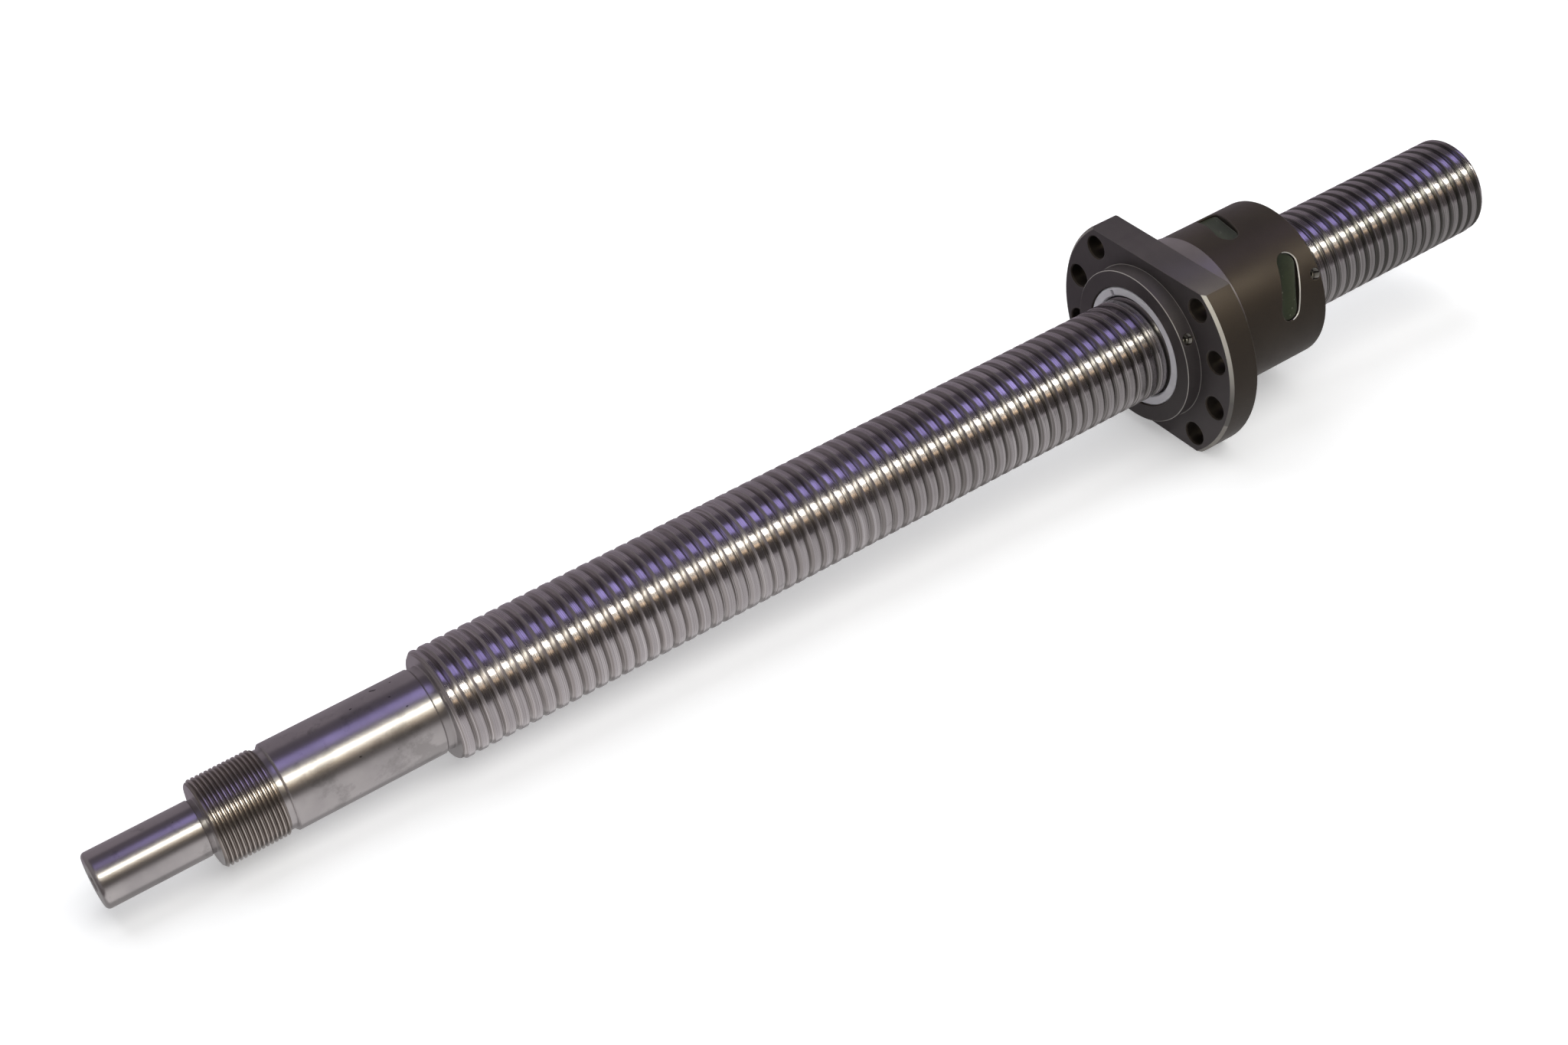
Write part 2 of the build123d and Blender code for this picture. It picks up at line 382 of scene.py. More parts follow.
def axis_distance(n):
    """Distance from the screw axis, in millimetres."""
    x, y, z = spot_parts(n)
    square = n.math("ADD", n.math("MULTIPLY", y, y), n.math("MULTIPLY", z, z))
    return n.math("MULTIPLY", n.math("SQRT", square), 1 / MM)


def along_groove(n):
    """Lines that follow the ball groove with a slow change along it, and the step across it.

    The step goes from 0 in the middle of the groove to 1 in the middle of the next turn.
    """
    x, y, z = spot_parts(n)
    turns = n.math("DIVIDE", n.math("ARCTAN2", z, y), 2 * math.pi)
    pitches = n.math("DIVIDE", n.math("SUBTRACT", x, GROOVE_OFFSET * MM), LEAD * MM)
    step = n.math("FRACT", n.math("SUBTRACT", pitches, turns))
    spot = n.add("ShaderNodeCombineXYZ")
    n.join(n.math("MULTIPLY", step, 15.0), spot.inputs[0])
    n.join(n.math("MULTIPLY", y, 8.0), spot.inputs[1])
    n.join(n.math("MULTIPLY", pitches, 0.12), spot.inputs[2])
    lines = n.add("ShaderNodeTexNoise", Scale=1.0, Detail=3.0, Roughness=0.65)
    n.join(spot.outputs[0], lines.inputs["Vector"])
    return lines.outputs["Fac"], step


def edge_mask(n, radius):
    """1 along edges, from how far the rounded normal turns away from the true one."""
    bevel = n.add("ShaderNodeBevel", samples=4, Radius=radius)
    flat = n.add("ShaderNodeNewGeometry")
    dot = n.add("ShaderNodeVectorMath", operation="DOT_PRODUCT")
    n.join(bevel.outputs[0], dot.inputs[0])
    n.join(flat.outputs["Normal"], dot.inputs[1])
    return n.stretch(dot.outputs["Value"], 0.985, 0.90), bevel


def bump(n, shader, height, strength, distance, normal=None):
    node = n.add("ShaderNodeBump", Strength=strength, Distance=distance)
    n.join(height, node.inputs["Height"])
    if normal is not None:
        n.join(normal, node.inputs["Normal"])
    n.join(node.outputs[0], shader.inputs["Normal"])


def direct_rays(n, path):
    """1 for rays from the camera, reflections and transmission, otherwise 0."""
    bent = n.math("MAXIMUM", path.outputs["Is Glossy Ray"], path.outputs["Is Transmission Ray"])
    return n.math("MAXIMUM", path.outputs["Is Camera Ray"], bent)


# Kinds of surface

def blotches(n, tone, colour, strength):
    """Blotches and dark pits of old stains."""
    blot = n.noise(75.0, (1, 1, 1), 5.0, 0.65, 31.0)
    tone = n.mix(n.stretch(blot, 0.55, 0.63, 0.0, strength), tone, shade(colour, 0.62))
    pit = n.noise(330.0, (1, 1, 1), 1.0, 0.5, 43.0)
    return n.mix(n.stretch(pit, 0.77, 0.80, 0.0, 0.9), tone, shade(colour, 0.12))


def raceway_lines_and_shade(n, tone, sunk):
    """Painted shade at the groove's creases, painted shade that grows towards the nut, most in the groove,
    and lines along the groove, the light ones painted reflection streaks.
    """
    crease_shade = (0.10, 0.088, 0.082)
    nutward_land_shade = (0.16, 0.155, 0.145)
    nutward_groove_shade = (0.055, 0.056, 0.050)
    streak_sheen = (0.75, 0.72, 0.73)
    dark = (0.17, 0.15, 0.145)
    streak, step = along_groove(n)
    # Painted shade in the crease on one wall of the groove.
    crease_shade_mask = n.math("MAXIMUM", n.stretch(step, 0.74, 0.82), n.stretch(step, 0.07, 0.03))
    tone = n.mix(n.math("MULTIPLY", crease_shade_mask, 0.65), tone, crease_shade)
    # Painted shade that grows along the screw towards the nut, light on the land and deep in the groove.
    nutward_shade_mask = n.stretch(spot_parts(n)[0], 0.08, 0.40)
    tone = n.mix(n.math("MULTIPLY", nutward_shade_mask, 0.15), tone, nutward_land_shade)
    nutward_groove_shade_mask = n.math("MULTIPLY", nutward_shade_mask, sunk)
    tone = n.mix(n.math("MULTIPLY", nutward_groove_shade_mask, 0.85), tone, nutward_groove_shade)
    # Light lines along the groove: painted reflection streaks.
    tone = n.mix(n.stretch(streak, 0.54, 0.70, 0.0, 0.7), tone, streak_sheen)
    return n.mix(n.stretch(streak, 0.46, 0.32, 0.0, 0.6), tone, dark)


def ground_steel(
    name, colour, dull, rough, lines=0.4, metal=1.0, along=0.6,
    groove=None, marks=None, fade=None, stained=0.0,
):
    """Ground steel with fine lines round the axis, faint stains and worn tone.

    groove is the darker tone in a groove, painted shade in the hollow, the roughness it gains there and
    the two distances from the axis, in millimetres, between which it sets in. marks is a function that
    adds more to a groove, such as painted shade.
    fade is painted shade: the darker tone low on the piece and the two heights, in millimetres,
    between which it gives way. stained is the strength of old blotches.
    """
    new, n, shader = material(name)
    shader.inputs["Metallic"].default_value = metal
    shader.inputs["Anisotropic"].default_value = along
    shader.inputs["Anisotropic Rotation"].default_value = 0.25
    turn = n.add("ShaderNodeTangent", direction_type="RADIAL", axis="X")
    n.join(turn.outputs[0], shader.inputs["Tangent"])
    fine = n.noise(1.0, (5200, 40, 40), 3.0, 0.6)
    coarse = n.noise(1.0, (900, 26, 26), 2.0, 0.5, 3.0)
    cloud = n.noise(38.0, (1, 1, 1), 4.0, 0.6, 7.0)
    tone = n.mix(n.stretch(cloud, 0.38, 0.66), colour, dull)
    tone = n.mix(n.stretch(coarse, 0.35, 0.75, 0.0, 0.3 * lines), tone, shade(colour, 0.72))
    stain = n.noise(95.0, (1, 1, 1), 3.0, 0.7, 19.0)
    tone = n.mix(n.stretch(stain, 0.64, 0.72, 0.0, 0.4), tone, shade(colour, 0.45))
    if stained:
        tone = blotches(n, tone, colour, stained)
    spread = n.stretch(fine, 0.3, 0.7, rough - 0.05 * lines, rough + 0.06 * lines)
    spread = n.math("ADD", spread, n.stretch(cloud, 0.3, 0.7, -0.03, 0.05))
    if groove:
        # The darker tone in the groove is painted shade in the hollow.
        groove_shade_tone, rougher, start, end = groove
        sunk = n.stretch(axis_distance(n), start, end)
        deep = n.mix(n.stretch(coarse, 0.4, 0.7), groove_shade_tone, shade(groove_shade_tone, 0.8))
        tone = n.mix(sunk, tone, deep)
        if marks:
            tone = marks(n, tone, sunk)
        spread = n.math("ADD", spread, n.math("MULTIPLY", sunk, rougher))
    # Painted shade: the tone gives way to a darker one low on the piece.
    if fade:
        low_tone, low, high = fade
        height = spot_parts(n)[2]
        tone = n.mix(n.stretch(height, low * MM, high * MM), low_tone, tone)
    n.join(tone, shader.inputs["Base Color"])
    n.join(spread, shader.inputs["Roughness"])
    ripple = n.math("ADD", n.math("MULTIPLY", fine, 0.6), n.math("MULTIPLY", coarse, 0.4))
    bump(n, shader, ripple, 0.3 * lines, 0.00002)
    return new


def black_steel(name, colour, dull, rough, worn, metal=0.0, tint=(1.0, 0.80, 0.62), specks=0.0, shine=0.5):
    """Blackened steel, satin, with a lighter line where the edges are worn."""
    new, n, shader = material(name)
    shader.inputs["Metallic"].default_value = metal
    shader.inputs["Specular Tint"].default_value = (*tint, 1)
    shader.inputs["Specular IOR Level"].default_value = shine
    edge, bevel = edge_mask(n, 0.0005)
    grain = n.noise(2600.0, (1, 1, 1), 3.0, 0.6)
    cloud = n.noise(42.0, (1, 1, 1), 4.0, 0.62, 5.0)
    turned_lines = n.noise(1.0, (3200, 60, 60), 2.0, 0.5, 2.0)
    tone = n.mix(n.stretch(cloud, 0.35, 0.68), colour, dull)
    tone = n.mix(n.stretch(grain, 0.4, 0.75, 0.0, 0.25), tone, shade(colour, 2.2))
    tone = n.mix(n.math("MULTIPLY", edge, 0.6), tone, worn)
    if specks:
        dust = n.noise(900.0, (1, 1, 1), 2.0, 0.5, 11.0)
        tone = n.mix(n.stretch(dust, 0.70, 0.76, 0.0, specks), tone, (0.45, 0.44, 0.38))
    n.join(tone, shader.inputs["Base Color"])
    spread = n.stretch(grain, 0.3, 0.7, rough - 0.05, rough + 0.06)
    spread = n.math("ADD", spread, n.stretch(cloud, 0.3, 0.7, -0.04, 0.06))
    n.join(spread, shader.inputs["Roughness"])
    ripple = n.math("ADD", n.math("MULTIPLY", grain, 0.5), n.math("MULTIPLY", turned_lines, 0.7))
    bump(n, shader, ripple, 0.35, 0.00003, bevel.outputs[0])
    return new


def plastic(name, colour, dull, rough, scale=1500.0):
    """A dull, finely grained surface, for the wipers and the felts."""
    new, n, shader = material(name)
    grain = n.noise(scale, (1, 1, 1), 3.0, 0.6)
    cloud = n.noise(70.0, (1, 1, 1), 3.0, 0.6, 4.0)
    n.join(n.mix(n.stretch(cloud, 0.35, 0.65), colour, dull), shader.inputs["Base Color"])
    n.join(n.stretch(grain, 0.3, 0.7, rough - 0.05, rough + 0.08), shader.inputs["Roughness"])
    bump(n, shader, grain, 0.4, 0.00004)
    return new


# Materials of the screw shaft

# The darker groove tone and the marks in the groove are painted shade, with painted reflection streaks.
RACEWAY = ground_steel(
    "raceway_steel", colour=(0.435, 0.41, 0.42), dull=(0.38, 0.355, 0.365), rough=0.23, lines=1.0,
    along=0.8, groove=((0.38, 0.35, 0.345), 0.10, 19.42, 19.1), marks=raceway_lines_and_shade,
)
JOURNAL = ground_steel(
    "journal_steel", colour=(0.45, 0.43, 0.425), dull=(0.36, 0.342, 0.345), rough=0.335, lines=0.3,
    stained=0.75,
)
# The dark tone at the thread's root is painted shade.
THREAD = ground_steel(
    "thread_steel", colour=(0.45, 0.41, 0.38), dull=(0.37, 0.335, 0.31), rough=0.28, lines=0.5,
    metal=0.95, groove=((0.25, 0.22, 0.20), 0.06, 14.7, 14.2),
)

# Materials of the nut, from the blackened finish to bare and worn places, some with painted highlights and
# painted shade

BLACK = black_steel(
    "blackened_steel", colour=(0.023, 0.0188, 0.0155), dull=(0.017, 0.0143, 0.0128), rough=0.44,
    worn=(0.09, 0.082, 0.074), shine=0.36,
)
FACED = black_steel(
    "faced_steel", colour=(0.045, 0.040, 0.039), dull=(0.036, 0.031, 0.032), rough=0.48,
    worn=(0.16, 0.148, 0.145), tint=(1.0, 0.9, 0.95),
)
BAND = ground_steel(
    "centring_steel", colour=(0.155, 0.135, 0.142), dull=(0.115, 0.10, 0.106), rough=0.38, metal=0.3
)
# The worn flange bevel in light cream: bare wear with a painted highlight, and painted shade low on the
# piece.
WORN_HIGHLIGHT = ground_steel(
    "worn_highlight_steel", colour=(0.66, 0.63, 0.56), dull=(0.56, 0.53, 0.47), rough=0.5, metal=0.25,
    fade=((0.14, 0.13, 0.12), -4, 22),
)
# The rest of the worn flange bevel, darker: bare wear with painted shade.
WORN_SHADE = ground_steel(
    "worn_shade_steel", colour=(0.30, 0.28, 0.25), dull=(0.16, 0.148, 0.135), rough=0.45, metal=0.3
)
# Painted highlights on the collar's edges.
EDGE_HIGHLIGHT = ground_steel(
    "edge_highlight_steel", colour=(0.46, 0.435, 0.41), dull=(0.34, 0.32, 0.30), rough=0.45, metal=0.3
)
# Bare steel of cut edges, with a painted glint.
BARE_AND_GLINT = ground_steel(
    "machined_glint_steel", colour=(0.74, 0.72, 0.68), dull=(0.60, 0.58, 0.54), rough=0.45, metal=0.3
)

# Materials of the small pieces

INSERT = black_steel(
    "insert_steel", colour=(0.026, 0.033, 0.019), dull=(0.008, 0.011, 0.007), rough=0.34,
    worn=(0.12, 0.12, 0.10), tint=(0.9, 1.0, 0.85), specks=0.8, shine=0.4,
)
SCREW = black_steel(
    "set_screw_steel", colour=(0.16, 0.15, 0.13), dull=(0.10, 0.095, 0.085), rough=0.30,
    worn=(0.4, 0.38, 0.34), metal=0.7, tint=(1, 1, 1),
)
BALLS = ground_steel(
    "ball_steel", colour=(0.62, 0.61, 0.60), dull=(0.56, 0.55, 0.54), rough=0.12, lines=0.3, along=0.0
)
WIPER = plastic("wiper_plastic", colour=(0.86, 0.845, 0.89), dull=(0.78, 0.76, 0.815), rough=0.40)
FELT = plastic("felt", colour=(0.20, 0.19, 0.18), dull=(0.14, 0.135, 0.13), rough=0.9, scale=900.0)


def finish_piece(piece, look, body, slot, *nodes):
    """Gives a piece its look and the body it rides on, and hides the nodes that it stands for; slot is not
    used.
    """
    piece.data.materials.clear()
    piece.data.materials.append(look)
    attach(piece, body)
    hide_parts(*nodes)


# Screw shaft

RACEWAY_FOOT_BEVEL = 1.2
RACEWAY_END_BEVEL = 1.0
THREAD_CORE_R = 13.7
UNDERCUT_R = 13.8
RELIEF_R = 14.62


def rounded(x, radius, size, steps=6):
    """Corner points from an end face to the outer wall, for an end that faces left."""
    for k in range(steps + 1):
        angle = math.pi / 2 * k / steps
        yield x + size * (1 - math.cos(angle)), radius - size + size * math.sin(angle)


def journal_outline():
    """Stations and radii from the drive end's centre hole to the foot of the raceway."""
    hole_r, hole_depth, tip_r, end_round = 3.3, 4.0, 1.0, 1.5
    hole_floor = DRIVE_START + hole_depth
    centre_hole = [(hole_floor, 0), (hole_floor, tip_r), (DRIVE_START, hole_r)]
    drive_relief = [
        (THREAD_START - 1.9, DRIVE_R),
        (THREAD_START - 1.7, DRIVE_R - 0.2),
        (THREAD_START - 1.5, DRIVE_R - 0.3),
        (THREAD_START - 0.2, DRIVE_R - 0.3),
        (THREAD_START, DRIVE_R - 0.1),
    ]
    thread_core = [
        (THREAD_START, THREAD_CORE_R + 0.2),
        (THREAD_START + 0.3, THREAD_CORE_R),
        (THREAD_END - 0.2, THREAD_CORE_R),
    ]
    undercut = [
        (THREAD_END, UNDERCUT_R),
        (JOURNAL_START - 0.2, UNDERCUT_R),
        (JOURNAL_START, UNDERCUT_R + 0.2),
    ]
    journal = [
        (JOURNAL_START, JOURNAL_R - 0.5),
        (JOURNAL_START + 0.5, JOURNAL_R),
        (-3.5, JOURNAL_R),
    ]
    grinding_relief = [
        (-3.1, RELIEF_R + 0.06),
        (-2.8, RELIEF_R),
        (-0.6, RELIEF_R),
        (-0.2, RELIEF_R + 0.1),
        (0, JOURNAL_R - 0.05),
    ]
    drive_end = [*centre_hole, *rounded(DRIVE_START, DRIVE_R, end_round), *drive_relief]
    raceway_foot = (0, RACEWAY_R - RACEWAY_FOOT_BEVEL)
    return [*drive_end, *thread_core, *undercut, *journal, *grinding_relief, raceway_foot]


def add_journals():
    journals = link("shaft_journals", *lathe(journal_outline(), ROUND_STEPS))
    smooth(journals)
    finish_piece(journals, JOURNAL, "shaft", "ground_steel", "screw_shaft")


def add_shaft_end():
    hole_r, hole_depth, tip_r = 5.3, 7.45, 1.0
    outline = [
        (RACEWAY_END, RACEWAY_R - RACEWAY_END_BEVEL),
        (RACEWAY_END, hole_r),
        (RACEWAY_END - hole_depth, tip_r),
        (RACEWAY_END - hole_depth, 0),
    ]
    shaft_end = link("shaft_end", *lathe(outline, ROUND_STEPS))
    smooth(shaft_end)
    finish_piece(shaft_end, JOURNAL, "shaft", "ground_steel", "screw_shaft")


def groove_radius(side):
    """The shaft's gothic ball groove with its edges broken, into the land."""
    arc_r, arc_shift, edge_break = 1.62, 0.07, 0.3
    deep = abs(side) + arc_shift
    if deep >= arc_r:
        return RACEWAY_R
    return soft_min(RACEWAY_R, BALL_PATH - math.sqrt(arc_r**2 - deep * deep), edge_break)


def raceway_profile():
    """Side steps and radii over one lead, closer where the groove meets the land."""
    half = (0.25, 0.5, 0.75, 0.95, 1.1, 1.2, 1.28, 1.35, 1.42, 1.5, 1.62, 1.9)
    sides = [-LEAD / 2, *[-s for s in reversed(half)], 0.0, *half]
    return [(side, groove_radius(side)) for side in sides]


def raceway_limit(x, radius):
    foot = RACEWAY_R - RACEWAY_FOOT_BEVEL + x
    end = RACEWAY_R - RACEWAY_END_BEVEL + RACEWAY_END - x
    return min(radius, foot, end)


def add_raceway():
    profile = raceway_profile()
    sheet = helix_sheet(LEAD, GROOVE_OFFSET, profile, 0, RACEWAY_END, GROOVE_STEPS, raceway_limit)
    raceway = link("shaft_raceway", *sheet)
    smooth(raceway, 40)
    finish_piece(raceway, RACEWAY, "shaft", "ground_steel", "screw_shaft")


def thread_profile():
    """Side steps and radii over one pitch, with a flat crest and a flat root."""
    crest_side, flank_side, root_side = 0.17, 0.40, 0.63
    flank = (THREAD_ROOT + THREAD_CREST) / 2
    return [
        (-THREAD_PITCH / 2, THREAD_ROOT),
        (-root_side, THREAD_ROOT),
        (-flank_side, flank),
        (-crest_side, THREAD_CREST),
        (crest_side, THREAD_CREST),
        (flank_side, flank),
        (root_side, THREAD_ROOT),
    ]


def thread_limit(x, radius):
    start = THREAD_CORE_R + 0.2 + x - THREAD_START
    end = UNDERCUT_R + THREAD_END - x
    return min(radius, start, end)


def add_thread():
    """The lock-nut thread."""
    shape = (THREAD_PITCH, THREAD_OFFSET, thread_profile())
    sheet = helix_sheet(*shape, THREAD_START, THREAD_END, THREAD_STEPS, thread_limit)
    thread = link("shaft_thread", *sheet)
    smooth(thread, 25)
    finish_piece(thread, THREAD, "shaft", "ground_steel", "screw_shaft")


# Nut

SHELL_BORE_R = 22.6
EDGE_BREAK = 0.4
COLLAR_BEVEL = 0.2
FLANGE_BEVEL = 1.1
END_BEVEL = 0.8
EDGE_LINE = 0.25
SLOT_BEVEL = 0.8
SLOT_BEVEL_START = BODY_R - 0.35


def nut(x):
    """The station of a place on the nut, measured from its front face."""
    return NUT_FRONT + x


def nut_outline():
    """Stations and radii round the nut's section, from the front seat over the outside."""
    collar = [
        (nut(EDGE_BREAK), SEAT_R),
        (nut(0), SEAT_R + EDGE_BREAK),
        (nut(0), COLLAR_R - COLLAR_BEVEL),
        (nut(COLLAR_BEVEL), COLLAR_R),
        (nut(COLLAR_LENGTH), COLLAR_R),
        (nut(COLLAR_LENGTH), COLLAR_R + EDGE_LINE),
    ]
    flange = [
        (nut(COLLAR_LENGTH), FLANGE_R - FLANGE_BEVEL),
        (nut(COLLAR_LENGTH + FLANGE_BEVEL), FLANGE_R),
        (nut(FLANGE_BACK - EDGE_BREAK), FLANGE_R),
        (nut(FLANGE_BACK), FLANGE_R - EDGE_BREAK),
    ]
    body = [
        (nut(FLANGE_BACK), PILOT_R),
        (nut(PILOT_BACK - EDGE_BREAK), PILOT_R),
        (nut(PILOT_BACK), BODY_R),
        (nut(NUT_LENGTH - END_BEVEL), BODY_R),
        (nut(NUT_LENGTH), BODY_R - END_BEVEL),
    ]
    bore = [
        (nut(NUT_LENGTH), SEAT_R + EDGE_BREAK),
        (nut(NUT_LENGTH - EDGE_BREAK), SEAT_R),
        (nut(NUT_LENGTH - SEAT_DEPTH), SEAT_R),
        (nut(NUT_LENGTH - SEAT_DEPTH), SHELL_BORE_R),
        (nut(SEAT_DEPTH), SHELL_BORE_R),
        (nut(SEAT_DEPTH), SEAT_R),
    ]
    return [*collar, *flange, *body, *bore]


def flat_cutter(side):
    """A block that cuts one flat of the flange."""
    reach = 60.0
    low, high = FLANGE_FLAT * side, reach * side
    square = ((-reach, low), (reach, low), (reach, high), (-reach, high))
    block = [[(x, y, z) for y, z in square] for x in (nut(-5), nut(24))]
    return ringed(block if side == 1 else [ring[::-1] for ring in block])


def hole_cutter(degrees):
    """One bolt hole with a bevel at both ends."""
    past = 1.0
    turn = math.radians(degrees)
    y, z = HOLE_CIRCLE_R * math.cos(turn), HOLE_CIRCLE_R * math.sin(turn)
    steps = [
        (nut(COLLAR_LENGTH - past), HOLE_R + EDGE_BREAK + past),
        (nut(COLLAR_LENGTH + EDGE_BREAK), HOLE_R),
        (nut(FLANGE_BACK - EDGE_BREAK), HOLE_R),
        (nut(FLANGE_BACK + past), HOLE_R + EDGE_BREAK + past),
    ]
    return axial_ringed(y, z, steps)


def slot_cutter(x, angle):
    """One deflector slot, with a bevel where it meets the body."""
    plain = slot_outline(SLOT_LENGTH, SLOT_WIDTH, parts=12)
    wide = slot_outline(SLOT_LENGTH + 2 * SLOT_BEVEL, SLOT_WIDTH + 2 * SLOT_BEVEL, parts=12)
    return ringed([
        [slot_place(x, angle, a, b, height=SLOT_FLOOR) for a, b in plain],
        [slot_place(x, angle, a, b, radius=SLOT_BEVEL_START) for a, b in plain],
        [slot_place(x, angle, a, b, radius=SLOT_BEVEL_START + SLOT_BEVEL) for a, b in wide],
        [slot_place(x, angle, a, b, height=BODY_R + 6) for a, b in wide],
    ])


def screw_hole_cutter(x, top):
    """One set-screw hole, with a bevel at the outer wall of radius top."""
    foot, bevel, past = 22.0, 0.3, 1.0
    steps = [(foot, SET_SCREW_R), (top - bevel, SET_SCREW_R), (top + past, SET_SCREW_R + bevel + past)]
    return radial_ringed(x, math.radians(REAR_SLOT_ANGLE), steps)


def nut_cutter():
    """All that is cut out of the turned nut, as one tool."""
    cutters = ([], [])
    for side in (1, -1):
        add(cutters, flat_cutter(side))
    for side in (0, 180):
        for angle in HOLE_ANGLES:
            add(cutters, hole_cutter(side + angle))
    for x, angle in slot_centres():
        add(cutters, slot_cutter(x, angle))
    for x, top in zip(SET_SCREWS, (COLLAR_R, BODY_R)):
        add(cutters, screw_hole_cutter(x, top))
    return link("nut_cutter", *cutters)


def in_slot(point):
    """True for a point, in millimetres, within the pocket of a ball deflector."""
    slant = math.radians(SLOT_SLANT)
    for x, angle in slot_centres():
        c, s = math.cos(angle), math.sin(angle)
        height, tangent = point.y * c + point.z * s, point.z * c - point.y * s
        side = point.x - x
        along = tangent * math.cos(slant) - side * math.sin(slant)
        across = side * math.cos(slant) + tangent * math.sin(slant)
        inside = abs(along) < SLOT_LENGTH / 2 + 0.9 and abs(across) < SLOT_WIDTH / 2 + 0.9
        if inside and height > SLOT_FLOOR - 0.1:
            return True
    return False


# Angles about the axis, in degrees, between which an edge was worn or cut bare and gets a painted
# highlight
LIT_WORN_FROM, LIT_WORN_TO = 125, 200
LIT_BARE_FROM, LIT_BARE_TO = 110, 190

NUT_LOOKS = {
    "black": BLACK,
    "band": BAND,
    "worn": WORN_HIGHLIGHT,
    "pocket": BARE_AND_GLINT,
    "faced": FACED,
    "worn_shade": WORN_SHADE,
    "line": EDGE_HIGHLIGHT,
}


def nut_face_look(face):
    """Which look a face of the nut has, by its place."""
    near = 0.1
    centre = face.center / MM
    radius = math.hypot(centre.y, centre.z)
    x = centre.x - NUT_FRONT
    turn = math.degrees(math.atan2(centre.z, centre.y)) % 360
    facing = face.normal.x
    lift = (face.normal.y * centre.y + face.normal.z * centre.z) / max(radius, 0.001)
    beside_band = FLANGE_BACK + near < x < PILOT_BACK + near
    on_flange_bevel = COLLAR_LENGTH < x < COLLAR_LENGTH + FLANGE_BEVEL and abs(facing + 0.707) < 0.05
    on_collar_bevel = x < COLLAR_BEVEL and radius > COLLAR_R - EDGE_LINE
    on_collar_foot = abs(x - COLLAR_LENGTH) < near and radius < COLLAR_R + EDGE_LINE
    on_collar_wall = x < COLLAR_LENGTH and abs(radius - COLLAR_R) < near
    on_flat = x < FLANGE_BACK + near and abs(centre.z) > FLANGE_FLAT - 1
    beside_screw = min(abs(centre.x - place) for place in SET_SCREWS) < SET_SCREW_R + near / 2
    if beside_band and PILOT_R - 2 * near < radius < PILOT_R + near:
        return "band"
    # The worn flange bevel: a painted highlight between these angles, painted shade on the rest.
    if on_flange_bevel and radius > FLANGE_R - FLANGE_BEVEL - near:
        return "worn" if LIT_WORN_FROM < turn < LIT_WORN_TO else "worn_shade"
    # Painted highlights on the collar's front bevel and foot.
    if (on_collar_bevel and facing > -0.9) or on_collar_foot:
        return "line"
    if on_collar_wall and lift > 0.9:
        return "faced"
    if in_slot(centre):
        # The slot's bevel is bare steel with a painted highlight, only where it faces -X and on one side
        # of the nut.
        bevel = radius > BODY_R - 0.4 and 0.2 < lift < 0.9 and facing < -0.15
        return "pocket" if bevel and LIT_BARE_FROM < turn < LIT_BARE_TO else "black"
    # A painted glint on the set-screw hole's wall that faces -X.
    if beside_screw and radius < BODY_R and abs(lift) < 0.5 and -0.995 < facing < -0.4:
        return "pocket"
    if abs(facing) > 0.99 or (on_flat and abs(face.normal.z) > 0.99):
        return "faced"
    return "black"


def dress_nut(piece):
    """Bare steel where the black finish was cut or worn through, with painted highlights and painted shade
    on it, painted highlights on the collar's edges, and duller milled faces.
    """
    names = list(NUT_LOOKS)
    for name in names[1:]:
        piece.data.materials.append(NUT_LOOKS[name])
    for face in piece.data.polygons:
        face.material_index = names.index(nut_face_look(face))


def add_nut_shell():
    shell = link("nut_shell", *lathe(nut_outline(), SHELL_STEPS, closed=True))
    cutter = nut_cutter()
    outward(cutter)
    outward(shell)
    carve(shell, cutter)
    turned_normals(shell)
    finish_piece(shell, BLACK, "nut", "blackened_steel", "nut_body")
    dress_nut(shell)


def inner_radius(radius):
    """The nut's groove where the shaft's groove has this radius."""
    if radius >= RACEWAY_R:
        return BORE_R
    return max(2 * BALL_PATH - radius + 0.4, BORE_R)


def add_nut_raceway():
    """The nut's own ball grooves, inside."""
    profile = [(side, inner_radius(radius)) for side, radius in raceway_profile()]
    start, end = nut(SEAT_DEPTH), NUT_END - SEAT_DEPTH
    sheet = helix_sheet(LEAD, GROOVE_OFFSET, profile, start, end, GROOVE_STEPS, lambda x, r: r)
    bore = link("nut_raceway", *sheet)
    bore.data.flip_normals()
    smooth(bore, 40)
    finish_piece(bore, RACEWAY, "nut", "blackened_steel", "nut_body")


# Ball deflectors

HEAD_PLAY = 0.12
HEAD_BEVEL = 0.25
HEAD_DROP = 1.0
HEAD_FLOOR = SLOT_FLOOR + 0.06
NOSE_LENGTH = 18.88
NOSE_WIDTH = 6.48
NOSE_END_R = 20.75


def capped(count, ring, up):
    """Strips over a ring that is a slot's outline, which follow its bend better than one face."""
    base = ring * count
    across = [(base + k, base + count - 1 - k) for k in range(count // 2)]
    for (a, b), (c, d) in zip(across, across[1:]):
        yield [a, c, d, b] if up else [a, b, d, c]


